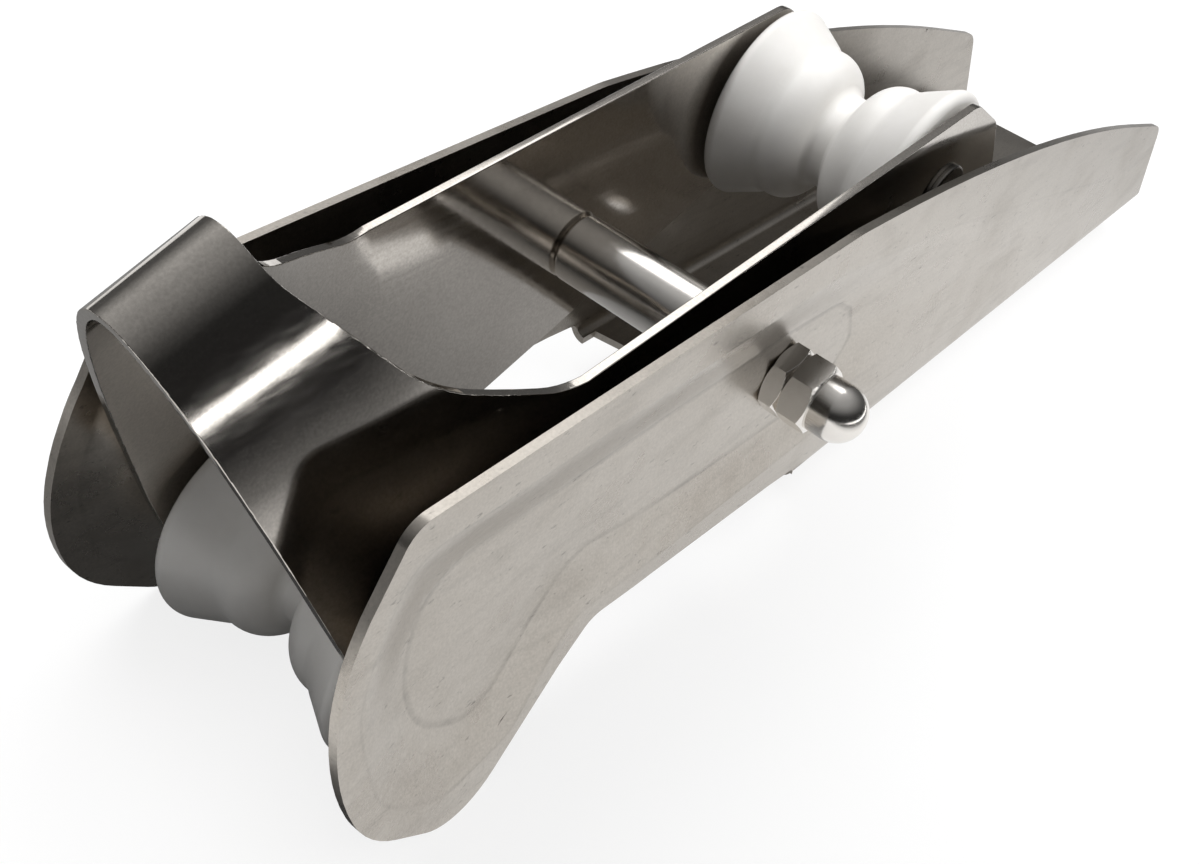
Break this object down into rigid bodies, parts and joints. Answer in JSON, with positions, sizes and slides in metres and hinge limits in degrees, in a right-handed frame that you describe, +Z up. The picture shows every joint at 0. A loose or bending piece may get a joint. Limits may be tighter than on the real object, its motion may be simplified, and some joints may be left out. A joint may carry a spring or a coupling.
{
  "type": "tilting bow roller",
  "caption": "Tilting bow roller for an anchor: fixed steel channel, pivoting cradle with front hoop, and a grooved roller at each end of the cradle.",
  "frame": {"origin": "centre of the rectangle of deck bolt holes, on the underside of the channel floor", "axes": "+X forward over the bow, +Y to the left, +Z up; the pivot bolt lies along Y"},
  "size_m": [0.4909, 0.137, 0.1554],
  "materials": {
    "channel_steel": "satin",
    "cradle_steel": "polished",
    "roller_nylon": "satin",
    "hardware_steel": "machined",
    "polished_steel": "polished",
    "washer_plastic": "matte"
  },
  "bodies": {
    "base": {"base_channel": "channel_steel", "pivot_bolt": "hardware_steel", "hex_nut_left": "polished_steel", "hex_nut_right": "polished_steel", "dome_nut_left": "polished_steel", "dome_nut_right": "polished_steel", "thrust_washer_left": "washer_plastic", "thrust_washer_right": "washer_plastic"},
    "cradle": {"tilting_cradle": "cradle_steel", "pivot_sleeve": "polished_steel", "front_roller_pin": "hardware_steel", "rear_roller_pin": "hardware_steel", "front_pin_washer": "hardware_steel", "rear_pin_washer": "hardware_steel", "front_pin_ring": "hardware_steel", "rear_pin_ring": "hardware_steel"},
    "front_roller": {"front_roller": "roller_nylon"},
    "rear_roller": {"rear_roller": "roller_nylon"}
  },
  "joints": [
    {"name": "cradle_tilt", "type": "hinge", "parent": "base", "child": "cradle", "pos_m": [0.15, 0, 0.0524], "axis": [0, -1, 0], "range_deg": [0, 28]},
    {"name": "front_roller_spin", "type": "hinge", "parent": "cradle", "child": "front_roller", "pos_m": [0.27145, 0, 0.02254], "axis": [0, 1, 0], "continuous": true},
    {"name": "rear_roller_spin", "type": "hinge", "parent": "cradle", "child": "rear_roller", "pos_m": [0.06641, 0, 0.07694], "axis": [0, 1, 0], "continuous": true}
  ]
}
